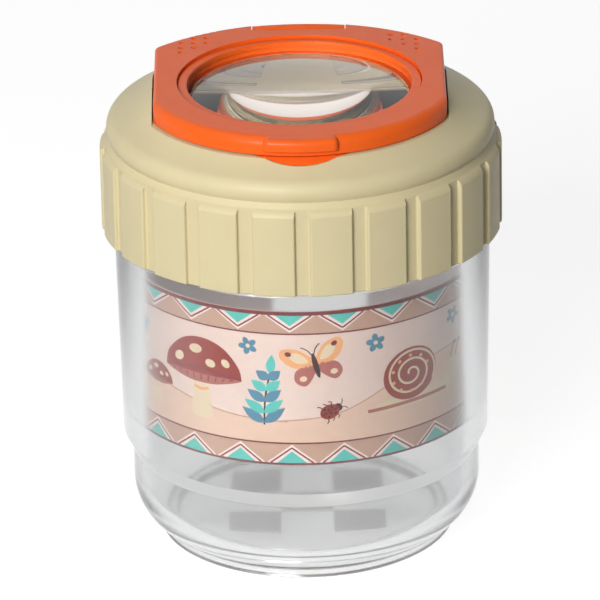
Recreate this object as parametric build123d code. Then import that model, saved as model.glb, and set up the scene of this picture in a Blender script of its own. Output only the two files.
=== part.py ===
from build123d import *
import os
from math import cos, radians, sin, sqrt

# Bug catcher jar, in millimetres. The origin is the middle of the foot, +Z points up the jar's axis
# and -Y is the front, where the thumb tab of the magnifier flap is.

# Radii of the cap's skirt and of the jar that it screws onto: the grip leads, and each wall, step and
# clearance counts from it
GRIP_R = 48.3
SKIRT_WALL = 3.5
THREAD_SPACE = 1.6
NECK_WALL = 3.8
SHOULDER_STEP = 2.2
BODY_FLARE = 0.9
BOWL_STEP = 2.2
BOWL_CORNER = 12.5
FOOT_STEP = 6.3
FOOT_WIDTH = 3.4
LEDGE = 0.5
FLOOR_CORNER = 8.1

# Heights of the jar, from the foot up
FOOT_H = 2.4
FOOT_RECESS = 1.3
FLOOR_T = 2.0
BOWL_H = 21.9
STEP_H = 4.5
BODY_H = 52.3
NECK_H = 19.3
FOOT_ROUND = 0.7
STEP_ROUND = 1.0
SHOULDER_ROUND = 1.2
LIP_ROUND = 1.0

# Printed film: rests on the ledge of the bore, open in a strip at the back
FILM_T = 0.3
FILM_GAP = 0.15
BAND_RISE = 7.9
BAND_H = 39.7
BAND_OPEN_FROM = 64.0
BAND_OPEN_TO = 102.3

# Measuring squares on the floor: corners and middle of a three by three chequer
SQUARE = 12.7
SQUARE_T = 0.2
SQUARE_SPACE = 0.1

# Cap: ribbed skirt, shoulder, crease and domed top, each point counted from the one below it
CAP_GAP = 0.5
SEAL_T = 1.2
GRIP_RISE = 0.5
GRIP_ROUND = 0.6
GRIP_SPARE = 0.1
GROOVE_COUNT = 22
GROOVE_W = 3.6
GROOVE_DEPTH = 1.1
GROOVE_ROUND = 0.45
SHOULDER_IN = 1.4
SHOULDER_RISE = 2.4
CREASE_IN = 0.9
CREASE_RISE = 1.4
BULGE_OUT = 0.6
BULGE_RISE = 1.7
SLOPE_IN = 2.0
SLOPE_RISE = 3.4
CROWN_IN = 9.4
CROWN_RISE = 6.9
SEAT_W = 3.8
ROOF_T = 2.0
ROOF_CHAMFER = 1.4
ROOF_CHAMFER_H = 1.2

# Channel across the dome that the flap lies in, and the pocket of the hinge frame
CHANNEL_DEPTH = 3.7
CHANNEL_GAP = 0.35
POCKET_OUT = 2.0
FRAME_T = 2.2
FIT_GAP = 0.2

# Hinge frame: ring with a snap spigot, a front tongue that slopes down for a finger and the hinge knuckle
FRAME_RIM = 6.0
SPIGOT_T = 1.5
SPIGOT_LENGTH = 3.2
BEAD = 0.5
TONGUE_R = 15.0
TONGUE_FLAT = 0.9
TONGUE_OUT = 3.4
TONGUE_DROP = 1.8

# Hinge at the rear of the flap: a barrel on the frame between two bosses of the flap
HINGE_OUT = 0.7
HINGE_RISE = 2.5
KNUCKLE_R = 2.3
KNUCKLE_END_R = 1.9
KNUCKLE_HALF = 11.3
KNUCKLE_PLAY = 0.2
POST_T = 3.0
PIN_R = 1.0
PIN_FIT = 0.06
PIN_PRESS = 0.01
BOSS_R = 1.6
BOSS_LENGTH = 3.4
BOSS_WALL = 1.0
SWING_GAP = 0.4
TROUGH_SPACE = 3.2

# Magnifier flap
FLAP_GAP = 0.3
FLAP_T = 4.3
FLAP_TOP_T = 2.0
FLAP_IN = 0.3
FLAP_FRONT = 3.0
FLAP_REAR = 2.1
FLAP_REAR_R = 48.0
FLAP_FRONT_CORNER = 8.0
FLAP_REAR_CORNER = 2.5
FLAP_EDGE_ROUND = 0.8
FLAP_FRONT_ROUND = 2.2
SKIRT_T = 1.2
TUBE_GAP = 0.4
TUBE_DROP = 2.7
TUBE_WALL = 2.9
LENS_LIP_T = 1.0
LENS_LIP_W = 2.0
TAB_HALF = 8.8
TAB_REACH = 1.3
TAB_T = 2.9
TAB_ROUND = 1.4
TAB_ROOT = 2.4
VENT_R = 0.6
VENT_PITCH = 3.1
VENT_IN = 9.4
VENT_EDGE = 2.3
VENT_COLUMNS = ((1, (1, 2, 3)), (0, (0, 1, 2)), (-1, (0, 1)))

# Lens and the bezel ring that holds it down
LENS_GAP = 0.1
LENS_EDGE_T = 1.7
LENS_TOP_SAG = 3.5
LENS_LOW_SAG = 2.5
LENS_LAND = 0.6
BEZEL_OUT = 1.5
BEZEL_IN = 0.9
BEZEL_SLEEVE_T = 0.6
BEZEL_DROP = 0.7
BEZEL_T = 1.3
BEZEL_ROUND = 0.4

# Radii that follow from the sizes above
SKIRT_IN_R = GRIP_R - SKIRT_WALL
NECK_R = SKIRT_IN_R - THREAD_SPACE
BORE_R = NECK_R - NECK_WALL
TOP_R = NECK_R + SHOULDER_STEP
BODY_R = TOP_R - BODY_FLARE
BOWL_R = BODY_R - BOWL_STEP
FOOT_R = BOWL_R - FOOT_STEP
FOOT_IN_R = FOOT_R - FOOT_WIDTH
LOW_BORE_R = BORE_R - LEDGE
FLOOR_R = LOW_BORE_R - FLOOR_CORNER
RIB_TOP_R = GRIP_R - SHOULDER_IN
CREASE_R = RIB_TOP_R - CREASE_IN
BULGE_R = CREASE_R + BULGE_OUT
SLOPE_R = BULGE_R - SLOPE_IN
CROWN_R = SLOPE_R - CROWN_IN
DOME_IN_R = SKIRT_IN_R - SEAT_W
ROOF_IN_R = DOME_IN_R - ROOF_CHAMFER
POCKET_R = CROWN_R + POCKET_OUT
FRAME_BORE_R = POCKET_R - FRAME_RIM
SPIGOT_R = FRAME_BORE_R + SPIGOT_T
TUBE_R = FRAME_BORE_R - TUBE_GAP
LENS_POCKET_R = TUBE_R - TUBE_WALL
LENS_R = LENS_POCKET_R - LENS_GAP
LENS_LIP_R = LENS_R - LENS_LIP_W
BEZEL_R = LENS_R + BEZEL_OUT
BEZEL_IN_R = LENS_R - BEZEL_IN

# Heights that follow
FLOOR_Z = FOOT_RECESS + FLOOR_T
STEP_Z = BOWL_H + STEP_H
BAND_LOW_Z = STEP_Z + BAND_RISE
SHOULDER_Z = STEP_Z + BODY_H
LIP_Z = SHOULDER_Z + NECK_H
SEAT_Z = LIP_Z + SEAL_T
CAP_LOW_Z = SHOULDER_Z + CAP_GAP
GRIP_TOP_Z = LIP_Z + GRIP_RISE
RIB_TOP_Z = GRIP_TOP_Z + SHOULDER_RISE
CREASE_Z = RIB_TOP_Z + CREASE_RISE
BULGE_Z = CREASE_Z + BULGE_RISE
SLOPE_Z = BULGE_Z + SLOPE_RISE
CROWN_Z = SLOPE_Z + CROWN_RISE
LAND_Z = CROWN_Z - CHANNEL_DEPTH
POCKET_Z = LAND_Z - FRAME_T
ROOF_LOW_Z = POCKET_Z - ROOF_T
FLAP_LOW_Z = LAND_Z + FLAP_GAP
FLAP_TOP_Z = FLAP_LOW_Z + FLAP_T
TUBE_LOW_Z = FLAP_LOW_Z - TUBE_DROP
LENS_LOW_Z = TUBE_LOW_Z + LENS_LIP_T
LENS_TOP_Z = LENS_LOW_Z + LENS_EDGE_T
BEZEL_SEAT_Z = FLAP_TOP_Z - BEZEL_DROP - BEZEL_T
TONGUE_TIP_Z = LAND_Z - TONGUE_DROP
HINGE_Z = LAND_Z + HINGE_RISE

# Places across the top that follow
FLAP_HALF = CROWN_R - FLAP_IN
CHANNEL_HALF = FLAP_HALF + CHANNEL_GAP
FLAP_FRONT_R = CROWN_R + FLAP_FRONT
HINGE_Y = CROWN_R + HINGE_OUT
FLAP_REAR_Y = HINGE_Y + FLAP_REAR
TONGUE_SLOPE_FROM = POCKET_R + TONGUE_FLAT
TONGUE_REACH = POCKET_R + TONGUE_OUT
TONGUE_Y = TONGUE_REACH - TONGUE_R
KNUCKLE_SPACE = KNUCKLE_HALF + KNUCKLE_PLAY
BOSS_END = KNUCKLE_SPACE + BOSS_LENGTH
PIN_HALF = BOSS_END - BOSS_WALL
TROUGH_HALF = BOSS_END + TROUGH_SPACE


def chain(start, *steps):
    """Closed outline of lines and arcs: a step is a point, or a (through, end) pair of an arc."""
    edges = []
    here = start
    for step in (*steps, start):
        if isinstance(step[0], tuple):
            through, end = step
            edges.append(ThreePointArc(here, through, end))
        else:
            end = step
            edges.append(Line(here, end))
        here = end
    return make_face(edges)


def rounded(outline, corners, radius):
    """The outline with the corners at these points rounded."""
    picked = [outline.vertices().sort_by_distance(corner)[0] for corner in corners]
    return fillet(picked, radius)


def turned(outline):
    """Solid of revolution of a (radius, height) outline about the jar's axis."""
    return revolve(Plane.XZ * outline, Axis.Z)


def ring(inner, outer, low, high):
    """Round ring between two radii and two heights."""
    return turned(chain((inner, low), (outer, low), (outer, high), (inner, high)))


def disc(radius, low, high):
    """Round plate on the jar's axis."""
    return Pos(0, 0, low) * extrude(Circle(radius), high - low)


def hinge_rod(radius, start, end):
    """Rod along the hinge axis between two X positions."""
    plane = Plane(origin=(start, HINGE_Y, HINGE_Z), x_dir=(0, 1, 0), z_dir=(1, 0, 0))
    return extrude(plane * Circle(radius), end - start)


def both_sides(solid):
    """The solid and its mirror image across the jar's left-right middle."""
    return [solid, mirror(solid, Plane.YZ)]


def jar_body():
    corner_r = BOWL_R - BOWL_CORNER
    corner_z = FOOT_H + sqrt(BOWL_CORNER**2 - (FOOT_R - corner_r) ** 2)
    bowl_mid = (corner_r + BOWL_CORNER * cos(radians(30)), corner_z - BOWL_CORNER * sin(radians(30)))
    inner_z = FLOOR_Z + FLOOR_CORNER
    inner_mid = (FLOOR_R + FLOOR_CORNER * sin(radians(45)), inner_z - FLOOR_CORNER * cos(radians(45)))
    outline = chain(
        (FOOT_IN_R, 0),
        (FOOT_R, 0),
        (FOOT_R, FOOT_H),
        (bowl_mid, (BOWL_R, corner_z)),
        (BOWL_R, BOWL_H),
        (BODY_R, STEP_Z),
        (TOP_R, SHOULDER_Z),
        (NECK_R, SHOULDER_Z),
        (NECK_R, LIP_Z),
        (BORE_R, LIP_Z),
        (BORE_R, BAND_LOW_Z),
        (LOW_BORE_R, BAND_LOW_Z),
        (LOW_BORE_R, inner_z),
        (inner_mid, (FLOOR_R, FLOOR_Z)),
        (0, FLOOR_Z),
        (0, FOOT_RECESS),
        (FOOT_IN_R, FOOT_RECESS),
    )
    outline = rounded(outline, [(FOOT_R, 0), (FOOT_IN_R, 0)], FOOT_ROUND)
    outline = rounded(outline, [(BOWL_R, BOWL_H), (BODY_R, STEP_Z)], STEP_ROUND)
    outline = rounded(outline, [(TOP_R, SHOULDER_Z)], SHOULDER_ROUND)
    outline = rounded(outline, [(NECK_R, LIP_Z), (BORE_R, LIP_Z)], LIP_ROUND)
    return turned(outline)


def printed_band():
    outer = BORE_R - FILM_GAP
    sleeve = ring(outer - FILM_T, outer, BAND_LOW_Z, BAND_LOW_Z + BAND_H)
    reach = 2 * BORE_R
    angles = (BAND_OPEN_FROM, (BAND_OPEN_FROM + BAND_OPEN_TO) / 2, BAND_OPEN_TO)
    fan = [(reach * cos(radians(a)), reach * sin(radians(a))) for a in angles]
    strip = extrude(chain((0, 0), *fan), LIP_Z)
    return sleeve - strip


def floor_grid():
    side = SQUARE - SQUARE_SPACE
    places = [(x, y) for x in (-1, 0, 1) for y in (-1, 0, 1) if (x + y) % 2 == 0]
    tile = extrude(Rectangle(side, side), SQUARE_T)
    return Compound([Pos(x * SQUARE, y * SQUARE, FLOOR_Z) * tile for x, y in places])


def seal_ring():
    section = chain(
        (BORE_R + LIP_ROUND, LIP_Z),
        (NECK_R - LIP_ROUND, LIP_Z),
        (NECK_R - LIP_ROUND, SEAT_Z),
        (BORE_R + LIP_ROUND, SEAT_Z),
    )
    return turned(section)


def cap_outline():
    """Section of the cap: skirt, shoulder, crease, dome, roof and the seat above the jar's lip."""
    low_in = (SKIRT_IN_R, CAP_LOW_Z)
    low_out = (GRIP_R + GRIP_SPARE, CAP_LOW_Z)
    grip_top = (GRIP_R + GRIP_SPARE, GRIP_TOP_Z)
    shoulder = (RIB_TOP_R, RIB_TOP_Z)
    crease = (CREASE_R, CREASE_Z)
    slope = (SLOPE_R, SLOPE_Z)
    crown = (CROWN_R, CROWN_Z)
    bulge = ThreePointArc(crease, (BULGE_R, BULGE_Z), slope)
    edges = [
        Line(low_in, low_out),
        Line(low_out, grip_top),
        TangentArc(grip_top, shoulder, tangent=(0, 1)),
        Line(shoulder, crease),
        bulge,
        TangentArc(slope, crown, tangent=bulge % 1),
    ]
    inside = [
        crown,
        (0, CROWN_Z),
        (0, ROOF_LOW_Z),
        (ROOF_IN_R, ROOF_LOW_Z),
        (DOME_IN_R, ROOF_LOW_Z - ROOF_CHAMFER_H),
        (DOME_IN_R, SEAT_Z),
        (SKIRT_IN_R, SEAT_Z),
        low_in,
    ]
    edges += [Line(a, b) for a, b in zip(inside, inside[1:])]
    return rounded(make_face(edges), [low_out], GRIP_ROUND)


def grip_prism():
    """Prism with the skirt's ribs and grooves, one groove at the front."""
    height = CROWN_Z - CAP_LOW_Z
    section = Circle(GRIP_R)
    for place in PolarLocations(GRIP_R, GROOVE_COUNT, start_angle=-90):
        section -= place * Rectangle(2 * GROOVE_DEPTH, GROOVE_W)
    section = fillet(section.vertices(), min(GROOVE_ROUND, GROOVE_DEPTH / 2.2))
    return Pos(0, 0, CAP_LOW_Z) * extrude(section, height)


def channel(half_width, low):
    """Everything above a height between the channel's two side walls."""
    return Pos(0, 0, low) * extrude(Rectangle(2 * half_width, 4 * GRIP_R), CROWN_Z)


def tongue_plan(grow, inner):
    """Plan of the front tongue outside a radius, grown all round by a clearance."""
    return Pos(0, -TONGUE_Y) * Circle(TONGUE_R + grow) - Circle(inner)


def cap_shell():
    solid = turned(cap_outline()) & grip_prism()
    solid -= channel(CHANNEL_HALF, LAND_Z)
    solid -= channel(CHANNEL_HALF, POCKET_Z) & disc(POCKET_R, POCKET_Z, CROWN_Z)
    solid -= disc(SPIGOT_R + FIT_GAP, ROOF_LOW_Z, POCKET_Z)
    notch = extrude(tongue_plan(FIT_GAP, POCKET_R), CROWN_Z - ROOF_LOW_Z + ROOF_T)
    front = Pos(0, -2 * GRIP_R, 0) * extrude(Rectangle(4 * GRIP_R, 4 * GRIP_R), CROWN_Z)
    solid -= (Pos(0, 0, ROOF_LOW_Z - ROOF_T) * notch) & front
    solid -= hinge_rod(swing_radius(), -TROUGH_HALF, TROUGH_HALF)
    return solid


def swing_radius():
    """Radius about the hinge that the flap's rear edge needs to swing clear."""
    reach = rear_edge(KNUCKLE_SPACE) - HINGE_Y
    return sqrt(reach**2 + (HINGE_Z - FLAP_LOW_Z) ** 2) + SWING_GAP


def rear_edge(x):
    """Y of the flap's rear arc at a distance from the jar's left-right middle."""
    return FLAP_REAR_Y - FLAP_REAR_R + sqrt(FLAP_REAR_R**2 - x**2)


def hinge_frame():
    flange = channel(CHANNEL_HALF - FIT_GAP, POCKET_Z) & disc(POCKET_R - FIT_GAP, POCKET_Z, LAND_Z)
    plan = tongue_plan(0, POCKET_R + FIT_GAP)
    front = Pos(0, -2 * GRIP_R) * Rectangle(4 * GRIP_R, 4 * GRIP_R)
    tongue = Pos(0, 0, ROOF_LOW_Z) * extrude(plan & front, LAND_Z - ROOF_LOW_Z)
    bridge = Pos(0, 0, POCKET_Z) * extrude(tongue_plan(0, FRAME_BORE_R) & front, FRAME_T)
    wedge = chain(
        (TONGUE_SLOPE_FROM, LAND_Z),
        (TONGUE_REACH, TONGUE_TIP_Z),
        (TONGUE_REACH + TONGUE_R, TONGUE_TIP_Z),
        (TONGUE_REACH + TONGUE_R, LAND_Z + FRAME_T),
        (TONGUE_SLOPE_FROM, LAND_Z + FRAME_T),
    )
    solid = flange + tongue + bridge - turned(wedge)
    solid += ring(FRAME_BORE_R, SPIGOT_R, POCKET_Z - SPIGOT_LENGTH, POCKET_Z)
    bead_z = ROOF_LOW_Z - FIT_GAP
    bead = chain((SPIGOT_R, bead_z), (SPIGOT_R + BEAD, bead_z - BEAD / 2), (SPIGOT_R, bead_z - 2 * BEAD))
    solid += turned(bead)
    solid -= disc(FRAME_BORE_R, 0, 2 * CROWN_Z)
    for trough in both_sides(hinge_rod(swing_radius(), KNUCKLE_HALF, TROUGH_HALF)):
        solid -= trough
    post = extrude(Rectangle(2 * KNUCKLE_HALF, POST_T), HINGE_Z - LAND_Z)
    solid += Pos(0, HINGE_Y, LAND_Z) * post
    solid += knuckle()
    solid -= hinge_rod(PIN_R + PIN_PRESS, -PIN_HALF, PIN_HALF)
    return solid


def knuckle():
    """Barrel about the hinge axis that narrows towards its ends."""
    section = chain(
        (-KNUCKLE_HALF, 0),
        (-KNUCKLE_HALF, KNUCKLE_END_R),
        ((0, KNUCKLE_R), (KNUCKLE_HALF, KNUCKLE_END_R)),
        (KNUCKLE_HALF, 0),
    )
    return Pos(0, HINGE_Y, HINGE_Z) * revolve(section, Axis.X)


def hinge_pin():
    return hinge_rod(PIN_R, -PIN_HALF, PIN_HALF)


def flap_plan():
    """Outline of the flap: round front, straight sides and a shallow rear arc."""
    front_y = -sqrt(FLAP_FRONT_R**2 - FLAP_HALF**2)
    rear_y = rear_edge(FLAP_HALF)
    left_front = (-FLAP_HALF, front_y)
    right_front = (FLAP_HALF, front_y)
    left_rear = (-FLAP_HALF, rear_y)
    right_rear = (FLAP_HALF, rear_y)
    outline = chain(
        left_front,
        ((0, -FLAP_FRONT_R), right_front),
        right_rear,
        ((0, FLAP_REAR_Y), left_rear),
    )
    outline = rounded(outline, [left_front, right_front], FLAP_FRONT_CORNER)
    return rounded(outline, [left_rear, right_rear], FLAP_REAR_CORNER)


def thumb_tab():
    """Lip at the front of the flap that a finger lifts."""
    root = Pos(0, -FLAP_FRONT_R) * Rectangle(2 * TAB_HALF, 2 * TAB_ROOT)
    plan = Circle(FLAP_FRONT_R + TAB_REACH) & root
    lip = Pos(0, 0, FLAP_TOP_Z - TAB_T) * extrude(plan, TAB_T)
    uprights = lip.edges().filter_by(Axis.Z).sort_by(Axis.Y)[:2]
    lip = fillet(uprights, TAB_REACH)
    top = lip.faces().sort_by(Axis.Z)[-1].edges().sort_by(Axis.Y)[:3]
    return fillet(top, TAB_ROUND)


def vents():
    """Groups of small air holes at the flap's two rear corners, set in from the rear edge."""
    drill = Pos(0, 0, FLAP_TOP_Z - FLAP_TOP_T) * extrude(Circle(VENT_R), FLAP_T)
    middle_x = FLAP_HALF - VENT_IN
    top_y = rear_edge(middle_x) - VENT_EDGE
    holes = []
    for column, rows in VENT_COLUMNS:
        for row in rows:
            place = Pos(middle_x + column * VENT_PITCH, top_y - row * VENT_PITCH, 0)
            holes += both_sides(place * drill)
    return holes


def front_crown():
    """What the round front edge of the flap leaves over of a square one."""
    low = FLAP_TOP_Z - FLAP_FRONT_ROUND
    inner = FLAP_FRONT_R - FLAP_FRONT_ROUND
    reach = FLAP_FRONT_ROUND * sin(radians(45))
    section = chain(
        (inner, FLAP_TOP_Z),
        ((inner + reach, low + reach), (FLAP_FRONT_R, low)),
        (FLAP_FRONT_R + FLAP_FRONT_ROUND, low),
        (FLAP_FRONT_R + FLAP_FRONT_ROUND, FLAP_TOP_Z + FLAP_FRONT_ROUND),
        (inner, FLAP_TOP_Z + FLAP_FRONT_ROUND),
    )
    front = Pos(0, -2 * GRIP_R, 0) * extrude(Rectangle(4 * GRIP_R, 4 * GRIP_R), 2 * CROWN_Z)
    return turned(section) & front


def flap_frame():
    plan = flap_plan()
    solid = Pos(0, 0, FLAP_LOW_Z) * extrude(plan, FLAP_T)
    solid = fillet(solid.faces().sort_by(Axis.Z)[-1].outer_wire().edges(), FLAP_EDGE_ROUND)
    solid -= front_crown()
    inside = offset(plan, -SKIRT_T) - Circle(TUBE_R)
    solid -= Pos(0, 0, FLAP_LOW_Z) * extrude(inside, FLAP_T - FLAP_TOP_T)
    solid += thumb_tab()
    for boss in both_sides(hinge_rod(BOSS_R, KNUCKLE_SPACE, BOSS_END)):
        solid += boss
    solid += disc(TUBE_R, TUBE_LOW_Z, BEZEL_SEAT_Z)
    solid -= disc(BEZEL_R + LENS_GAP, BEZEL_SEAT_Z, 2 * CROWN_Z)
    solid -= disc(LENS_POCKET_R, LENS_LOW_Z, BEZEL_SEAT_Z)
    solid -= disc(LENS_LIP_R, TUBE_LOW_Z, LENS_LOW_Z)
    knuckle_front = HINGE_Y - KNUCKLE_R - SWING_GAP
    notch = Rectangle(2 * KNUCKLE_SPACE, GRIP_R, align=(Align.CENTER, Align.MIN))
    solid -= Pos(0, knuckle_front, 0) * extrude(notch, 2 * CROWN_Z)
    for bore in both_sides(hinge_rod(PIN_R + PIN_FIT, 0, PIN_HALF + FIT_GAP)):
        solid -= bore
    for hole in vents():
        solid -= hole
    return solid


def half_way_sag(radius, sag):
    """Drop of a spherical lens face at half its radius."""
    sphere = (radius**2 + sag**2) / (2 * sag)
    return sphere - sqrt(sphere**2 - (radius / 2) ** 2)


def flap_lens():
    top_r = LENS_R - LENS_LAND
    low_r = LENS_LIP_R - FIT_GAP
    top_apex = LENS_TOP_Z + LENS_TOP_SAG
    low_apex = LENS_LOW_Z - LENS_LOW_SAG
    low_mid = (low_r / 2, low_apex + half_way_sag(low_r, LENS_LOW_SAG))
    top_mid = (top_r / 2, top_apex - half_way_sag(top_r, LENS_TOP_SAG))
    section = chain(
        (0, low_apex),
        (low_mid, (low_r, LENS_LOW_Z)),
        (LENS_R, LENS_LOW_Z),
        (LENS_R, LENS_TOP_Z),
        (top_r, LENS_TOP_Z),
        (top_mid, (0, top_apex)),
    )
    return turned(section)


def lens_bezel():
    sleeve_in = LENS_R - BEZEL_SLEEVE_T
    top = BEZEL_SEAT_Z + BEZEL_T
    section = chain(
        (sleeve_in, LENS_TOP_Z),
        (LENS_R, LENS_TOP_Z),
        (LENS_R, BEZEL_SEAT_Z),
        (BEZEL_R, BEZEL_SEAT_Z),
        (BEZEL_R, top),
        (BEZEL_IN_R, top),
        (BEZEL_IN_R, BEZEL_SEAT_Z),
        (sleeve_in, BEZEL_SEAT_Z),
    )
    return turned(rounded(section, [(BEZEL_R, top), (BEZEL_IN_R, top)], BEZEL_ROUND))


PARTS = {
    "jar_body": jar_body,
    "printed_band": printed_band,
    "floor_grid": floor_grid,
    "seal_ring": seal_ring,
    "cap_shell": cap_shell,
    "hinge_frame": hinge_frame,
    "hinge_pin": hinge_pin,
    "flap_frame": flap_frame,
    "flap_lens": flap_lens,
    "lens_bezel": lens_bezel,
}

os.makedirs("parts", exist_ok=True)
for name, make in PARTS.items():
    export_step(make(), f"parts/{name}.step")
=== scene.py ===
from math import asin, atan2, ceil, cos, degrees, pi, radians, sin, sqrt, tan

import bmesh
import bpy
from mathutils import Matrix, Vector


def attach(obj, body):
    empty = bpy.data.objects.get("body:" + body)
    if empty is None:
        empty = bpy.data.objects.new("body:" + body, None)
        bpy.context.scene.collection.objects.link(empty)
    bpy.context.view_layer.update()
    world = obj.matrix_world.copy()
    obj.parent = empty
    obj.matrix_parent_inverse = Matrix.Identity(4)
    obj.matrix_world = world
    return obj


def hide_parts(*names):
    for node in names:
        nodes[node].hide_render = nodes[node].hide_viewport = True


# Bug catcher jar: finishes, the smooth clear pieces, the printed sleeve's design, stage, lights and camera.
# Lengths here are in millimetres and become metres as meshes are made.

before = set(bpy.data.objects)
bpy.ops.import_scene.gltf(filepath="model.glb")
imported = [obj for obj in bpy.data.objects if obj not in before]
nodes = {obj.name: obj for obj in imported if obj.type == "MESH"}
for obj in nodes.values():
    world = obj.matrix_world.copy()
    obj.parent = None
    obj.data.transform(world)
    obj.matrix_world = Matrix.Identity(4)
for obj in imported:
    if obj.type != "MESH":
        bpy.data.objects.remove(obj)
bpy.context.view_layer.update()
MM = 0.001

# Jar profile: radii
FOOT_IN_R = 32.6
FOOT_R = 36.0
BOWL_R = 42.3
BOWL_CORNER = 12.5
BODY_R = 44.5
TOP_R = 45.4
NECK_R = 43.2
BORE_R = 39.4
LOW_BORE_R = 38.9
FLOOR_CORNER = 9.5

# Jar profile: heights
FOOT_RECESS = 1.3
FOOT_H = 2.4
FLOOR_Z = 4.5
BOWL_H = 21.9
STEP_Z = 26.4
BAND_LOW_Z = 32.7
BAND_HIGH_Z = 72.5
SHOULDER_Z = 78.7
LIP_Z = 98.0

# Jar profile: roundings of its edges
RECESS_ROUND = 0.4
FOOT_IN_ROUND = 0.6
FOOT_ROUND = 0.7
BOWL_ROUND = 0.6
STEP_ROUND = 0.4
SHOULDER_ROUND = 1.2
NECK_ROUND = 0.4
LIP_ROUND = 1.0
LEDGE_ROUND = 0.15

# Printed film
FILM_R = 39.25
FILM_T = 0.3
FILM_FROM = radians(-167.7)
FILM_TO = radians(154.0)
COLUMN = 1.0
ALONG_LOW = FILM_FROM * FILM_R
ALONG_HIGH = FILM_TO * FILM_R

# Lens
LENS_R = 27.8
LENS_LOW_Z = 109.2
LENS_TOP_Z = 110.9
LENS_FACE_Z = 112.0
LENS_TOP_R = 27.1
LENS_LOW_R = 25.6
LENS_TOP_SAG = 3.3
LENS_LOW_SAG = 2.5

# Thread on the neck: two starts of two ridges each, parted at the front and the back
THREAD_LEAD = 8.0
THREAD_LOW_Z = 84.0
THREAD_CREST = 0.8
THREAD_BASE = 0.9
THREAD_TIP = 0.35
THREAD_SUNK = 0.3
THREAD_PARTING = radians(6.7)

# Camera fitted to the photograph
PHOTO_SIDE = 600
FOCAL_PX = 6237.75
SENSOR = 36.0
DISTANCE = 1515.0
ELEVATION = radians(23.55)
ROLL = radians(-1.07)
AIM = (-0.86, 0.0, 57.6)


def srgb(red, green, blue, alpha=1.0):
    """Linear colour from 0 to 255 screen values."""
    def linear(value):
        value /= 255
        return value / 12.92 if value <= 0.04045 else ((value + 0.055) / 1.055) ** 2.4
    return (linear(red), linear(green), linear(blue), alpha)


def shade(colour, factor):
    """The colour, lighter or darker."""
    return (*(min(1.0, channel * factor) for channel in colour[:3]), colour[3])


# Meshes


def new_piece(name, bm, body, slot, *materials, smooth=radians(28)):
    """Object from a bmesh in millimetres, riding a body."""
    bmesh.ops.scale(bm, vec=(MM, MM, MM), verts=bm.verts)
    mesh = bpy.data.meshes.new(name)
    bm.to_mesh(mesh)
    bm.free()
    for polygon in mesh.polygons:
        polygon.use_smooth = True
    mesh.set_sharp_from_angle(angle=smooth)
    for material in materials:
        mesh.materials.append(material)
    piece = bpy.data.objects.new(name, mesh)
    bpy.context.scene.collection.objects.link(piece)
    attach(piece, body)
    return piece


def arc(centre, radius, start, end, steps=12):
    """Points of an arc in the (radius, height) plane, angles in degrees from the outward direction."""
    turns = [radians(start + (end - start) * i / steps) for i in range(steps + 1)]
    return [(centre[0] + radius * cos(t), centre[1] + radius * sin(t)) for t in turns]


def rounded(corners, step=radians(9)):
    """Outline through (radius, height) corners, where a third number rounds that corner."""
    points = []
    last = len(corners) - 1
    for i, corner in enumerate(corners):
        here = Vector(corner[:2])
        rounding = corner[2] if len(corner) > 2 else 0.0
        if rounding == 0.0 or i in (0, last):
            points.append(tuple(here))
            continue
        back = (Vector(corners[i - 1][:2]) - here).normalized()
        ahead = (Vector(corners[i + 1][:2]) - here).normalized()
        half = back.angle(ahead) / 2
        centre = here + (back + ahead).normalized() * rounding / sin(half)
        start = here + back * rounding / tan(half) - centre
        end = here + ahead * rounding / tan(half) - centre
        turn = start.angle_signed(end)
        count = max(2, ceil(abs(turn) / step))
        for k in range(count + 1):
            angle = -turn * k / count
            x = start.x * cos(angle) - start.y * sin(angle)
            y = start.x * sin(angle) + start.y * cos(angle)
            points.append(tuple(centre + Vector((x, y))))
    return points


def lathe(outline, steps=256):
    """Closed bmesh turned about the jar's axis from (radius, height) points, from axis to axis."""
    bm = bmesh.new()
    rows = []
    for radius, height in outline:
        if radius < 1e-6:
            rows.append([bm.verts.new((0, 0, height))] * steps)
            continue
        angles = [2 * pi * i / steps for i in range(steps)]
        rows.append([bm.verts.new((radius * cos(a), radius * sin(a), height)) for a in angles])
    for low, high in zip(rows, rows[1:]):
        for i in range(steps):
            j = (i + 1) % steps
            corners = dict.fromkeys((low[i], low[j], high[j], high[i]))
            bm.faces.new(corners)
    bmesh.ops.recalc_face_normals(bm, faces=bm.faces)
    return bm


# Materials


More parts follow.
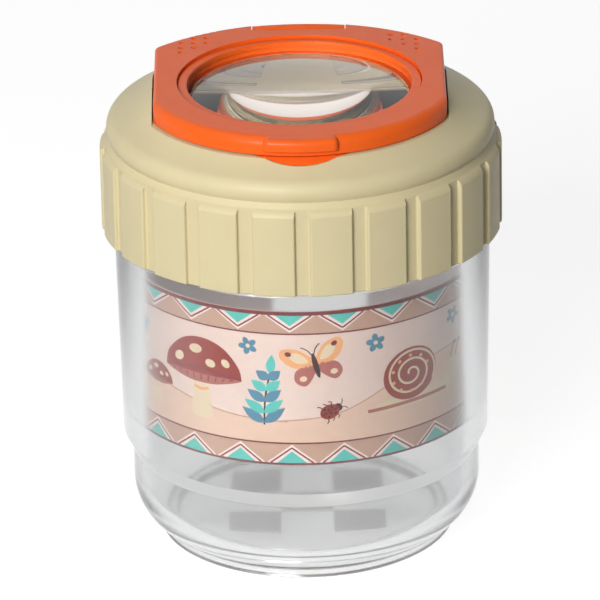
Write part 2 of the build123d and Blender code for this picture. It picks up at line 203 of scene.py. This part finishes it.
class Look:
    """A node material: short calls that add nodes and link them to the surface shader."""

    def __init__(self, name, **sockets):
        self.material = bpy.data.materials.new(name)
        self.material.use_nodes = True
        self.tree = self.material.node_tree
        self.surface = self.tree.nodes["Principled BSDF"]
        self.output = self.tree.nodes["Material Output"]
        for socket, value in sockets.items():
            self.surface.inputs[socket.replace("_", " ")].default_value = value
        self.place = self.add("ShaderNodeTexCoord").outputs["Object"]

    def add(self, kind, links=(), **settings):
        """A node with its settings and (socket, value or output) links."""
        node = self.tree.nodes.new(kind)
        for key, value in settings.items():
            setattr(node, key, value)
        for socket, value in links:
            if isinstance(value, bpy.types.NodeSocket):
                self.tree.links.new(value, node.inputs[socket])
            else:
                node.inputs[socket].default_value = value
        return node

    def noise(self, size, detail=3.0, rough=0.55):
        """Noise between 0 and 1 whose blotches are about this many millimetres across."""
        links = [("Vector", self.place), ("Scale", 1 / (size * MM)), ("Detail", detail), ("Roughness", rough)]
        return self.add("ShaderNodeTexNoise", links).outputs["Fac"]

    def spread(self, value, low, high):
        """The value's middle range stretched between two numbers."""
        links = [("Value", value), ("From Min", 0.3), ("From Max", 0.7), ("To Min", low), ("To Max", high)]
        return self.add("ShaderNodeMapRange", links).outputs["Result"]

    def mottle(self, colour, size, depth):
        """Base colour that drifts a little lighter and darker."""
        links = [("Factor", self.spread(self.noise(size), 0.0, 1.0))]
        mix = self.add("ShaderNodeMix", links, data_type="RGBA")
        mix.inputs[6].default_value = shade(colour, 1 - depth)
        mix.inputs[7].default_value = shade(colour, 1 + depth)
        self.link(mix.outputs[2], "Base Color")

    def link(self, output, socket):
        self.tree.links.new(output, self.surface.inputs[socket])

    def relief(self, grain, depth, waves=None, wave_depth=0.0, edge=0.0):
        """Fine moulding grain, longer waves and softened edges, all in millimetres."""
        normal = None
        if edge:
            normal = self.add("ShaderNodeBevel", [("Radius", edge * MM)], samples=6).outputs["Normal"]
        layers = [(grain, depth)] + ([(waves, wave_depth)] if waves else [])
        for size, height in layers:
            links = [("Height", self.noise(size, 2.0)), ("Distance", height * MM), ("Strength", 1.0)]
            if normal is not None:
                links.append(("Normal", normal))
            normal = self.add("ShaderNodeBump", links).outputs["Normal"]
        self.link(normal, "Normal")

    def edge_tint(self, face_on, edge_on):
        """Colour of clear plastic, deeper where the light runs along the wall than where it crosses it."""
        facing = self.add("ShaderNodeLayerWeight", [("Blend", 0.5)]).outputs["Facing"]
        mix = self.add("ShaderNodeMix", [("Factor", facing)], data_type="RGBA")
        mix.inputs[6].default_value = face_on
        mix.inputs[7].default_value = edge_on
        self.link(mix.outputs[2], "Base Color")

    def let_lamps_through(self, tint):
        """Lamp light passes the piece, so that what is behind it is lit."""
        path = self.add("ShaderNodeLightPath").outputs["Is Shadow Ray"]
        clear = self.add("ShaderNodeBsdfTransparent", [("Color", tint)]).outputs["BSDF"]
        mix = self.add("ShaderNodeMixShader", [(0, path), (1, self.surface.outputs["BSDF"]), (2, clear)])
        self.tree.links.new(mix.outputs["Shader"], self.output.inputs["Surface"])


def moulded(name, colour, roughness, grain, depth, edge, gloss=0.35):
    """Opaque moulded plastic with fine grain and softened edges."""
    look = Look(name, Specular_IOR_Level=gloss)
    look.mottle(colour, 9.0, 0.02)
    look.link(look.spread(look.noise(3.0), roughness - 0.04, roughness + 0.04), "Roughness")
    look.relief(grain, depth, waves=14.0, wave_depth=0.02, edge=edge)
    return look.material


def clear(name, face_on, edge_on, ior, waves, lamps, roughness):
    """Clear plastic; lamps is the share of lamp light that it lets through."""
    look = Look(name, Roughness=roughness, IOR=ior, Transmission_Weight=1.0)
    look.edge_tint(face_on, edge_on)
    look.relief(18.0, waves)
    look.let_lamps_through((lamps, lamps, lamps, 1.0))
    return look.material


def ink(name, colour):
    """Satin print that lets most lamp light through its film."""
    look = Look(name, Roughness=0.6, Specular_IOR_Level=0.1)
    look.mottle(colour, 1.6, 0.025)
    look.relief(0.35, 0.002)
    look.let_lamps_through((0.92, 0.9, 0.89, 1.0))
    return look.material


CLEAR_JAR = clear(
    "clear_jar",
    face_on=(0.85, 0.85, 0.845, 1.0),
    edge_on=(0.54, 0.56, 0.58, 1.0),
    ior=1.5,
    waves=0.012,
    lamps=0.82,
    roughness=0.1,
)
CLEAR_LENS = clear(
    "clear_lens",
    face_on=(0.9, 0.81, 0.75, 1.0),
    edge_on=(0.93, 0.87, 0.82, 1.0),
    ior=1.49,
    waves=0.002,
    lamps=0.95,
    roughness=0.0,
)
CAP_BEIGE = moulded("cap_beige", srgb(219, 206, 164), 0.48, 0.16, 0.006, 0.35)
FLAP_ORANGE = moulded("flap_orange", srgb(248, 102, 30), 0.36, 0.3, 0.003, 0.3, gloss=0.22)
SEAL_PALE = moulded("seal_pale", srgb(222, 221, 214), 0.6, 0.4, 0.004, 0.15)

PALETTE = {
    "ground": srgb(237, 214, 203),
    "pale": srgb(250, 229, 222),
    "hill": srgb(234, 202, 181),
    "tan": srgb(204, 168, 148),
    "teal": srgb(104, 202, 192),
    "maroon": srgb(134, 72, 76),
    "rust": srgb(160, 76, 70),
    "rose": srgb(184, 116, 108),
    "cream": srgb(232, 214, 182),
    "dark": srgb(84, 64, 66),
    "blue": srgb(100, 148, 172),
    "peach": srgb(244, 180, 130),
}
INKS = {name: ink("ink_" + name, colour) for name, colour in PALETTE.items()}
FILM_BACK = ink("film_back", srgb(238, 230, 230))


def frosted():
    look = Look("frost", Roughness=0.65, Alpha=0.38)
    look.mottle(srgb(208, 207, 208), 1.2, 0.03)
    look.relief(0.12, 0.01)
    return look.material


def steel():
    look = Look("pin_steel", Metallic=1.0)
    look.mottle(srgb(186, 186, 186), 0.8, 0.05)
    look.link(look.spread(look.noise(0.4), 0.25, 0.4), "Roughness")
    return look.material


def dress(node, material):
    """Gives a carried-over node its finish."""
    mesh = nodes[node].data
    mesh.materials.clear()
    mesh.materials.append(material)


dress("cap_shell", CAP_BEIGE)
dress("hinge_frame", FLAP_ORANGE)
dress("flap_frame", FLAP_ORANGE)
dress("lens_bezel", FLAP_ORANGE)
dress("seal_ring", SEAL_PALE)
dress("hinge_pin", steel())


# Clear jar and lens


def jar_outline():
    """Foot recess, foot, bowl, step, body and neck, then down the bore to the inner floor."""
    corner_r = BOWL_R - BOWL_CORNER
    corner = (corner_r, FOOT_H + sqrt(BOWL_CORNER**2 - (FOOT_R - corner_r) ** 2))
    start = degrees(atan2(FOOT_H - corner[1], FOOT_R - corner_r))
    bowl = arc(corner, BOWL_CORNER, start, 0, 16)
    return rounded([
        (0, FOOT_RECESS),
        (FOOT_IN_R, FOOT_RECESS, RECESS_ROUND),
        (FOOT_IN_R, 0, FOOT_IN_ROUND),
        (FOOT_R, 0, FOOT_ROUND),
        *bowl,
        (BOWL_R, BOWL_H, BOWL_ROUND),
        (BODY_R, STEP_Z, STEP_ROUND),
        (TOP_R, SHOULDER_Z, SHOULDER_ROUND),
        (NECK_R, SHOULDER_Z, NECK_ROUND),
        (NECK_R, LIP_Z, LIP_ROUND),
        (BORE_R, LIP_Z, LIP_ROUND),
        (BORE_R, BAND_LOW_Z, LEDGE_ROUND),
        (LOW_BORE_R, BAND_LOW_Z, LEDGE_ROUND),
        (LOW_BORE_R, FLOOR_Z, FLOOR_CORNER),
        (0, FLOOR_Z),
    ])


def cap_arc(rim_r, rim_z, sag, steps=40):
    """Points of a spherical lens face from the rim to the axis; sag is positive where the face bulges up."""
    sphere = (rim_r**2 + sag**2) / (2 * abs(sag))
    side = 1 if sag > 0 else -1
    reach = asin(rim_r / sphere)
    turns = [reach * (1 - i / steps) for i in range(steps + 1)]
    return [(sphere * sin(t), rim_z + side * (sphere * cos(t) - sphere * cos(reach))) for t in turns]


def lens_outline():
    low = cap_arc(LENS_LOW_R, LENS_LOW_Z, -LENS_LOW_SAG)[::-1]
    top = cap_arc(LENS_TOP_R, LENS_FACE_Z, LENS_TOP_SAG)
    return [*low, (LENS_R, LENS_LOW_Z), (LENS_R, LENS_TOP_Z), (LENS_TOP_R, LENS_TOP_Z), *top]


jar = new_piece("clear_jar", lathe(jar_outline()), "jar", "clear_plastic", CLEAR_JAR)
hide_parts("jar_body")
lens = new_piece("clear_lens", lathe(lens_outline()), "flap", "lens_clear", CLEAR_LENS)
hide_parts("flap_lens")


def thread_ridge(start, end, low):
    """Ridge on the neck that climbs with the thread's lead between two angles, ends closed."""
    bm = bmesh.new()
    sunk = NECK_R - THREAD_SUNK
    crest = NECK_R + THREAD_CREST
    section = [(sunk, -THREAD_BASE), (crest, -THREAD_TIP), (crest, THREAD_TIP), (sunk, THREAD_BASE)]
    steps = 64
    rows = []
    for i in range(steps + 1):
        angle = start + (end - start) * i / steps
        rise = low + THREAD_LEAD * (angle - start) / (2 * pi)
        rows.append([bm.verts.new((r * sin(angle), -r * cos(angle), rise + z)) for r, z in section])
    for here, there in zip(rows, rows[1:]):
        for k in range(len(section)):
            m = (k + 1) % len(section)
            bm.faces.new((here[k], here[m], there[m], there[k]))
    bm.faces.new(rows[0])
    bm.faces.new(rows[-1])
    bmesh.ops.recalc_face_normals(bm, faces=bm.faces)
    return bm


def neck_thread():
    whole = bmesh.new()
    for turn in range(4):
        start = turn * pi + THREAD_PARTING
        low = THREAD_LOW_Z + THREAD_LEAD / 2 * (turn // 2 + turn % 2)
        ridge = thread_ridge(start, start + pi - 2 * THREAD_PARTING, low)
        mesh = bpy.data.meshes.new("ridge")
        ridge.to_mesh(mesh)
        ridge.free()
        whole.from_mesh(mesh)
        bpy.data.meshes.remove(mesh)
    return whole


new_piece("neck_thread", neck_thread(), "jar", "clear_plastic", CLEAR_JAR)


# Measuring squares

SQUARE = 12.7
SQUARE_GAP = 0.1
SQUARE_LIFT = 0.03
SQUARE_T = 0.17
SQUARE_BEVEL = 0.05


def floor_squares():
    bm = bmesh.new()
    side = SQUARE - SQUARE_GAP
    for column in (-1, 0, 1):
        for row in (-1, 0, 1):
            if (column + row) % 2:
                continue
            spot = Matrix.Translation((column * SQUARE, row * SQUARE, FLOOR_Z + SQUARE_LIFT + SQUARE_T / 2))
            bmesh.ops.create_cube(bm, size=1.0, matrix=spot @ Matrix.Diagonal((side, side, SQUARE_T, 1)))
    bmesh.ops.bevel(bm, geom=list(bm.edges), offset=SQUARE_BEVEL, segments=1, affect="EDGES")
    return bm


squares = new_piece("floor_squares", floor_squares(), "jar", "frost_ink", frosted())
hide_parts("floor_grid")


# Printed film: a sleeve and flat ink shapes, drawn in (along, height) and wrapped onto it


def wrapped(along, height, lift):
    """Point on the sleeve; along is measured from the front, to the right."""
    angle = along / FILM_R
    radius = FILM_R + lift
    return (radius * sin(angle), -radius * cos(angle), height)


def film_sleeve():
    """Open sleeve, printed on its outer side and pale on its inner side."""
    bm = bmesh.new()
    columns = range(ceil(ALONG_LOW / COLUMN), ceil(ALONG_HIGH / COLUMN))
    marks = [ALONG_LOW] + [k * COLUMN for k in columns] + [ALONG_HIGH]
    rows = []
    for along in marks:
        corners = [(0.0, BAND_LOW_Z), (0.0, BAND_HIGH_Z), (-FILM_T, BAND_HIGH_Z), (-FILM_T, BAND_LOW_Z)]
        rows.append([bm.verts.new(wrapped(along, height, lift)) for lift, height in corners])
    inner_side = 2
    for here, there in zip(rows, rows[1:]):
        for k in range(4):
            m = (k + 1) % 4
            face = bm.faces.new((here[k], here[m], there[m], there[k]))
            face.material_index = 1 if k == inner_side else 0
    bm.faces.new(rows[0])
    bm.faces.new(rows[-1])
    bmesh.ops.recalc_face_normals(bm, faces=bm.faces)
    return bm


film = new_piece("print_sleeve", film_sleeve(), "jar", "print_film", INKS["ground"], FILM_BACK)
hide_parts("printed_band")

shapes = []
LAYER = 0.012


def paint(ink_name, layer, outline):
    """Adds one flat shape of ink."""
    shapes.append((ink_name, layer, outline))


def stroke(ink_name, layer, points, width):
    """A line of even width through the points."""
    left = []
    right = []
    for i, point in enumerate(points):
        before = Vector(points[max(i - 1, 0)])
        after = Vector(points[min(i + 1, len(points) - 1)])
        side = (after - before).normalized().orthogonal() * width / 2
        left.append(tuple(Vector(point) + side))
        right.append(tuple(Vector(point) - side))
    for i in range(len(points) - 1):
        paint(ink_name, layer, [left[i], left[i + 1], right[i + 1], right[i]])


def curve(points, closed=False, steps=6):
    """Smooth line through a few points."""
    count = len(points)
    spans = count if closed else count - 1
    line = []

    def at(i):
        return Vector(points[i % count]) if closed else Vector(points[min(max(i, 0), count - 1)])

    for i in range(spans):
        a, b, c, d = at(i - 1), at(i), at(i + 1), at(i + 2)
        for k in range(steps):
            t = k / steps
            square = 2 * a - 5 * b + 4 * c - d
            cube = 3 * b - a - 3 * c + d
            line.append(tuple(0.5 * (2 * b + (c - a) * t + square * t**2 + cube * t**3)))
    return line if closed else line + [tuple(points[-1])]


def oval(centre, wide, tall, tilt=0.0, steps=28):
    turn = radians(tilt)
    spots = []
    for i in range(steps):
        a = 2 * pi * i / steps
        x, y = wide / 2 * cos(a), tall / 2 * sin(a)
        spots.append((centre[0] + x * cos(turn) - y * sin(turn), centre[1] + x * sin(turn) + y * cos(turn)))
    return spots


def leaf(base, length, width, angle, steps=12):
    """Pointed leaf that grows from its base at an angle."""
    turn = radians(angle)
    upper = [(length * i / steps, width / 2 * sin(pi * (i / steps) ** 0.8)) for i in range(steps + 1)]
    lower = [(x, -y) for x, y in upper[1:-1]][::-1]
    return [
        (base[0] + x * cos(turn) - y * sin(turn), base[1] + x * sin(turn) + y * cos(turn))
        for x, y in upper + lower
    ]


# Borders of the print

BORDER_H = 5.5
BORDER_PITCH = 12.0
BORDER_PHASE = -3.3
TOP_LINE = 0.95
LOW_LINE = 0.55
INNER_LINE = 0.4
ZIGZAG_LINE = 0.4


def strip(ink_name, layer, low, high):
    paint(ink_name, layer, [(ALONG_LOW, low), (ALONG_HIGH, low), (ALONG_HIGH, high), (ALONG_LOW, high)])


def border(edge_z, inward, line):
    """Zigzag border along an edge of the print; inward is +1 upwards or -1 downwards."""
    def level(share):
        return edge_z + inward * share

    bands = [
        ("tan", 1, 0.0, BORDER_H),
        ("maroon", 6, 0.0, line),
        ("maroon", 6, BORDER_H, BORDER_H + INNER_LINE),
    ]
    for ink_name, layer, near, far in bands:
        low, high = sorted((level(near), level(far)))
        strip(ink_name, layer, low, high)
    first = ceil((ALONG_LOW - BORDER_PHASE) / BORDER_PITCH) - 1
    last = int((ALONG_HIGH - BORDER_PHASE) / BORDER_PITCH) + 1
    half = BORDER_PITCH / 2
    for k in range(first, last + 1):
        tip = BORDER_PHASE + k * BORDER_PITCH
        for ink_name, layer, spread, depth in (("pale", 2, 1.0, 0.97), ("teal", 4, 0.6, 0.66)):
            reach = half * spread
            top = level(line * 0.8)
            paint(ink_name, layer, [(tip - reach, top), (tip + reach, top), (tip, level(BORDER_H * depth))])
        for side in (-1, 1):
            foot = (tip + side * half * 0.82, level(line))
            point = (tip, level(BORDER_H * 0.82))
            stroke("maroon", 5, [foot, point], ZIGZAG_LINE)


border(BAND_LOW_Z, 1, LOW_LINE)
border(BAND_HIGH_Z, -1, TOP_LINE)

# Design between the borders: toadstools, snail, butterfly, beetle, sprigs and small flowers on low hills

FIELD_LOW = BAND_LOW_Z + BORDER_H
REPEAT = 107.4


def hills(shift):
    left = curve([(-60, 47), (-47, 51), (-34, 48), (-18, 45), (-4, 44)], steps=8)
    right = curve([(-8, 44), (8, 46), (24, 53), (40, 56), (52, 52), (66, 46)], steps=8)
    for ink_name, layer, top in (("hill", 0, right), ("hill", 1, left)):
        points = [(x + shift, z) for x, z in top]
        paint(ink_name, layer, points + [(points[-1][0], FIELD_LOW), (points[0][0], FIELD_LOW)])
        stroke("tan", 2, points, 0.35)


def placed(x, z, size, tilt=0.0):
    """Function that moves, turns and scales the points of a motif drawn about its own origin."""
    turn = radians(tilt)

    def at(points):
        return [
            (x + (px * cos(turn) - pz * sin(turn)) * size, z + (px * sin(turn) + pz * cos(turn)) * size)
            for px, pz in points
        ]

    return at


def toadstool(x, z, size):
    at = placed(x, z, size)
    stem = curve([(-2.6, 0), (-2.0, 5), (-1.7, 10), (1.7, 10), (2.0, 5), (2.7, 0), (0, -0.9)], closed=True)
    cap = curve([(-9.5, 9.6), (-8.6, 13.2), (-4.5, 17.2), (0.5, 18.4), (5.4, 16.8), (8.8, 12.8), (9.6, 9.6)])
    gills = curve([(-9.5, 9.7), (-4.5, 7.9), (0, 7.5), (4.5, 7.9), (9.6, 9.7), (0, 10.6)], closed=True)
    paint("cream", 4, at(stem))
    paint("rose", 5, at(gills))
    for k in range(-4, 5):
        stroke("maroon", 6, at([(k * 1.7, 8.1 + 0.07 * k * k), (k * 1.9, 9.4)]), 0.28 * size)
    paint("rust", 7, at(cap))
    stroke("maroon", 8, at(curve([(-9.4, 9.8), (0, 10.9), (9.5, 9.8)])), 0.45 * size)
    for px, pz, wide, tall, tilt in (
        (-5.6, 12.6, 2.6, 2.1, 40),
        (-1.2, 15.4, 3.2, 2.2, 8),
        (2.4, 12.6, 2.4, 1.9, -12),
        (6.0, 13.2, 2.2, 1.7, -48),
    ):
        paint("cream", 9, at(oval((px, pz), wide, tall, tilt)))
    stroke("peach", 5, at([(-1.75, 6.4), (0, 5.9), (1.75, 6.4)]), 0.7 * size)


def snail(x, z, size):
    at = placed(x, z, size)
    back = [(-13, 0.2), (-6, 2.6), (3, 3.0), (8.5, 3.8), (10.6, 7.4)]
    head = [(13.0, 7.8), (13.6, 5.6), (12.2, 1.6), (9, 0), (-4, -0.3)]
    paint("cream", 5, at(curve(back + head, closed=True)))
    stroke("rose", 6, at(curve([(-12.6, 0.4), (-2, 0.7), (9.4, 0.8)])), 0.9 * size)
    for px in (11.2, 12.9):
        stroke("rose", 4, at(curve([(px, 7.4), (px + 0.6, 9.6), (px + 1.4, 11.2)])), 0.5 * size)
        paint("maroon", 6, at(oval((px + 1.5, 11.4), 1.1, 1.1)))
    paint("rust", 7, at(oval((-1.4, 8.0), 14.6, 13.4, 6, 48)))
    turns = 2.6
    swirl = []
    for i in range(60):
        share = i / 59
        angle = 2 * pi * turns * share - 0.5
        reach = 6.6 * (1 - share) ** 0.9 + 0.5
        swirl.append((-1.4 + reach * cos(angle), 8.0 + reach * 0.92 * sin(angle)))
    stroke("cream", 8, at(swirl), 0.55 * size)
    for i in range(9):
        angle = radians(20 + 36 * i)
        spot = (-1.4 + 5.0 * cos(angle), 8.0 + 4.6 * sin(angle))
        paint("peach", 9, at(oval(spot, 0.9, 0.9, 0, 12)))


def butterfly(x, z, size, tilt):
    at = placed(x, z, size, tilt)
    for side in (-1, 1):
        upper = curve([(0, 0.6), (2.6, 4.6), (6.4, 5.8), (7.4, 3.6), (4.6, 0.4)], closed=True)
        lower = curve([(0, 0.2), (4.4, 0.0), (5.6, -2.8), (3.6, -4.6), (1.2, -2.6)], closed=True)
        for wing, ink_name in ((upper, "peach"), (lower, "rose")):
            paint(ink_name, 5, at([(side * px, pz) for px, pz in wing]))
        inner = curve([(1.4, 1.4), (3.0, 4.0), (5.4, 4.4), (5.2, 3.0), (3.6, 1.4)], closed=True)
        paint("cream", 6, at([(side * px, pz) for px, pz in inner]))
        paint("maroon", 7, at(oval((side * 5.4, 4.4), 1.5, 1.2, side * 30)))
        paint("cream", 7, at(oval((side * 3.6, -2.6), 1.7, 1.4)))
        stroke("dark", 7, at(curve([(0, 2.4), (side * 1.0, 4.4), (side * 2.2, 5.4)])), 0.26 * size)
    paint("dark", 8, at(oval((0, 0), 1.3, 6.6)))


def beetle(x, z, size, tilt):
    at = placed(x, z, size, tilt)
    for side in (-1, 1):
        for foot in (-2.2, 0.2, 2.4):
            leg = [(side * 1.6, foot * 0.7), (side * 3.4, foot), (side * 4.0, foot - 1.0)]
            stroke("dark", 4, at(leg), 0.4 * size)
        stroke("dark", 4, at(curve([(side * 0.5, 4.4), (side * 1.2, 5.8), (side * 2.4, 6.4)])), 0.34 * size)
    paint("dark", 5, at(oval((0, 3.6), 3.4, 2.8)))
    paint("rust", 6, at(oval((0, 0), 6.0, 7.4)))
    stroke("dark", 7, at([(0, 3.4), (0, -3.6)]), 0.4 * size)
    for px, pz in ((1.5, 1.6), (1.8, -1.2), (0.9, 0.1), (-1.5, 1.6), (-1.8, -1.2), (-0.9, 0.1)):
        paint("dark", 7, at(oval((px, pz), 1.0, 1.0, 0, 14)))


def sprig(x, z, height, lean, ink_name):
    stem = curve([(x, z), (x + lean * 0.2, z + height * 0.5), (x + lean, z + height)], steps=8)
    stroke("dark", 3, stem, 0.42)
    count = 5
    for i in range(count):
        spot = stem[1 + i * (len(stem) - 2) // count]
        length = 6.4 - 0.7 * i
        for side, angle in ((-1, 142), (1, 38)):
            paint(ink_name if i % 2 else "blue", 4, leaf(spot, length, 2.5, angle + lean * 1.5))
    paint(ink_name, 4, leaf(stem[-2], 5.0, 2.2, 90 - lean * 4))


def flower(x, z, size, spin=0):
    for k in range(5):
        angle = radians(72 * k + spin)
        spot = (x + 1.35 * size * cos(angle), z + 1.35 * size * sin(angle))
        paint("blue", 3, oval(spot, 2.1 * size, 1.5 * size, 72 * k + spin, 18))
    paint("cream", 4, oval((x, z), 1.1 * size, 1.1 * size, 0, 14))


def meadow(shift):
    hills(shift)
    toadstool(shift - 25, 43.4, 1.08)
    toadstool(shift - 38.5, 43.6, 0.52)
    snail(shift + 27, 44.8, 1.0)
    butterfly(shift + 2.5, 58.6, 1.0, 14)
    beetle(shift + 5.5, 46.4, 0.62, -62)
    sprig(shift - 9.5, 43.0, 14.0, 1.6, "teal")
    sprig(shift + 48.5, 46.0, 14.0, -1.8, "teal")
    flower(shift - 44, 61.5, 1.0, 10)
    flower(shift - 13, 63.2, 0.95, 40)
    flower(shift + 16.5, 62.8, 1.0, 25)
    flower(shift + 39, 63.4, 0.95, 60)


for shift in (-REPEAT, 0.0, REPEAT):
    meadow(shift)


def print_art():
    """All ink shapes as thin raised patches, cut to the sleeve and bent round it."""
    names = list(INKS)
    bm = bmesh.new()
    for ink_name, layer, outline in shapes:
        if max(x for x, _ in outline) < ALONG_LOW or min(x for x, _ in outline) > ALONG_HIGH:
            continue
        lift = LAYER * (layer + 2)
        face = bm.faces.new([bm.verts.new((x, lift, z)) for x, z in outline])
        face.material_index = names.index(ink_name)
    bmesh.ops.triangulate(bm, faces=list(bm.faces), ngon_method="EAR_CLIP")
    for cut in range(ceil(ALONG_LOW / COLUMN), ceil(ALONG_HIGH / COLUMN)):
        geom = list(bm.verts) + list(bm.edges) + list(bm.faces)
        bmesh.ops.bisect_plane(bm, geom=geom, plane_co=(cut * COLUMN, 0, 0), plane_no=(1, 0, 0))
    for edge, outward in ((ALONG_LOW, -1), (ALONG_HIGH, 1)):
        geom = list(bm.verts) + list(bm.edges) + list(bm.faces)
        plane = {"plane_co": (edge, 0, 0), "plane_no": (outward, 0, 0)}
        bmesh.ops.bisect_plane(bm, geom=geom, clear_outer=True, **plane)
    for vertex in bm.verts:
        vertex.co = wrapped(vertex.co.x, vertex.co.z, vertex.co.y)
    bmesh.ops.recalc_face_normals(bm, faces=bm.faces)
    for face in bm.faces:
        out = Vector((face.calc_center_median().x, face.calc_center_median().y, 0))
        if face.normal.dot(out) < 0:
            face.normal_flip()
    return bm


new_piece("print_art", print_art(), "jar", "print_film", *INKS.values())


# Stage, lights and camera

FLOOR_SIDE = 12.0
FLOOR_GREY = (0.4, 0.4, 0.4, 1.0)
FLOOR_GLOW = 0.8
WHITE = (1.0, 1.0, 1.0, 1.0)

# In front of the object the floor's glow falls to this share, between these Y, for all but the camera
FLOOR_NEAR = 0.15
FLOOR_NEAR_Y = -0.13
FLOOR_FULL_Y = -0.06

# Levels of the surroundings, and the directions over which they change
WORLD_FILL = 0.36
WORLD_NEAR = 0.4
WORLD_NEAR_SPAN = (0.0, 0.85)
WORLD_RIGHT = 0.1
WORLD_RIGHT_SPAN = (-0.1, 0.8)
WORLD_FRONT = 0.4
WORLD_FRONT_SPAN = (-0.4, 0.4)

# Lamps, in metres and watts
KEY_PLACE = (-0.403, -1.107, 0.619)
KEY_TARGET = (0, 0, 0.07)
KEY_SIZE = 0.6
KEY_POWER = 14.5
TOP_PLACE = (-0.5, -0.3, 1.1)
TOP_TARGET = (0, 0, 0.09)
TOP_SIZE = 0.5
TOP_POWER = 1.3


def stage_floor():
    """White floor that glows for direct sight and keeps the object's shadow."""
    bm = bmesh.new()
    bmesh.ops.create_grid(bm, x_segments=1, y_segments=1, size=FLOOR_SIDE / 2)
    mesh = bpy.data.meshes.new("floor")
    bm.to_mesh(mesh)
    bm.free()
    floor = bpy.data.objects.new("floor", mesh)
    bpy.context.scene.collection.objects.link(floor)
    look = Look("floor", Base_Color=FLOOR_GREY, Roughness=0.9, Specular_IOR_Level=0.0, Emission_Color=WHITE)
    path = look.add("ShaderNodeLightPath").outputs

    def math(operation, first, second):
        return look.add("ShaderNodeMath", [(0, first), (1, second)], operation=operation).outputs[0]

    links = [
        ("Value", look.add("ShaderNodeSeparateXYZ", [(0, look.place)]).outputs["Y"]),
        ("From Min", FLOOR_NEAR_Y),
        ("From Max", FLOOR_FULL_Y),
        ("To Min", FLOOR_NEAR),
        ("To Max", 1.0),
    ]
    away = look.add("ShaderNodeMapRange", links, interpolation_type="SMOOTHSTEP").outputs["Result"]
    shown = math("MAXIMUM", away, path["Is Camera Ray"])
    direct = math("LESS_THAN", path["Diffuse Depth"], 0.5)
    white = math("MULTIPLY", direct, FLOOR_GLOW)
    look.link(math("MULTIPLY", white, shown), "Emission Strength")
    mesh.materials.append(look.material)


def surroundings():
    """White for the camera; softer and dimmer towards the camera's side for what the object reflects."""
    world = bpy.data.worlds.new("studio")
    world.use_nodes = True
    bpy.context.scene.world = world
    tree = world.node_tree
    background = tree.nodes["Background"]

    def math(operation, first, second):
        node = tree.nodes.new("ShaderNodeMath")
        node.operation = operation
        for socket, value in zip(node.inputs, (first, second)):
            if isinstance(value, bpy.types.NodeSocket):
                tree.links.new(value, socket)
            else:
                socket.default_value = value
        return node.outputs[0]

    path = tree.nodes.new("ShaderNodeLightPath").outputs
    split = tree.nodes.new("ShaderNodeSeparateXYZ")
    tree.links.new(tree.nodes.new("ShaderNodeTexCoord").outputs["Generated"], split.inputs[0])

    def fade(direction, span, low, high):
        """Smooth change of level over a span of a direction's X or Y."""
        node = tree.nodes.new("ShaderNodeMapRange")
        node.interpolation_type = "SMOOTHSTEP"
        tree.links.new(split.outputs[direction], node.inputs["Value"])
        for socket, value in zip(("From Min", "From Max", "To Min", "To Max"), (*span, low, high)):
            node.inputs[socket].default_value = value
        return node.outputs["Result"]

    seen = math("LESS_THAN", path["Diffuse Depth"], 0.5)
    shown = math("MULTIPLY", seen, fade("Y", WORLD_FRONT_SPAN, WORLD_FRONT, 1.0))
    fill = math("MULTIPLY", fade("X", WORLD_RIGHT_SPAN, 1.0, WORLD_RIGHT), WORLD_FILL)
    near = fade("Y", WORLD_NEAR_SPAN, WORLD_NEAR, 1.0)
    level = math("MAXIMUM", shown, math("MULTIPLY", fill, near))
    tree.links.new(math("MAXIMUM", level, path["Is Camera Ray"]), background.inputs["Strength"])
    background.inputs["Color"].default_value = WHITE


def lamp(name, place, target, size, power):
    """Round white area lamp that points at a target."""
    light = bpy.data.lights.new(name, "AREA")
    light.shape = "DISK"
    light.size = size
    light.energy = power
    lamp_object = bpy.data.objects.new(name, light)
    lamp_object.location = place
    lamp_object.rotation_euler = (Vector(target) - Vector(place)).to_track_quat("-Z", "Y").to_euler()
    bpy.context.scene.collection.objects.link(lamp_object)


def camera():
    """Camera that sees the object as the photograph does, rolled about its line of sight."""
    data = bpy.data.cameras.new("camera")
    data.sensor_width = SENSOR
    data.lens = SENSOR * FOCAL_PX / PHOTO_SIDE
    data.clip_start = 0.05
    data.clip_end = 50.0
    view = bpy.data.objects.new("camera", data)
    ahead = Vector((0, cos(ELEVATION), -sin(ELEVATION)))
    level = Vector((1, 0, 0))
    upward = level.cross(ahead)
    right = level * cos(ROLL) + upward * sin(ROLL)
    up = upward * cos(ROLL) - level * sin(ROLL)
    pose = Matrix((right, up, -ahead)).transposed().to_4x4()
    pose.translation = (Vector(AIM) - ahead * DISTANCE) * MM
    view.matrix_world = pose
    bpy.context.scene.collection.objects.link(view)
    bpy.context.scene.camera = view


stage_floor()
surroundings()
lamp("key", KEY_PLACE, KEY_TARGET, KEY_SIZE, KEY_POWER)
lamp("top", TOP_PLACE, TOP_TARGET, TOP_SIZE, TOP_POWER)
camera()
bpy.context.scene.view_settings.view_transform = "Standard"
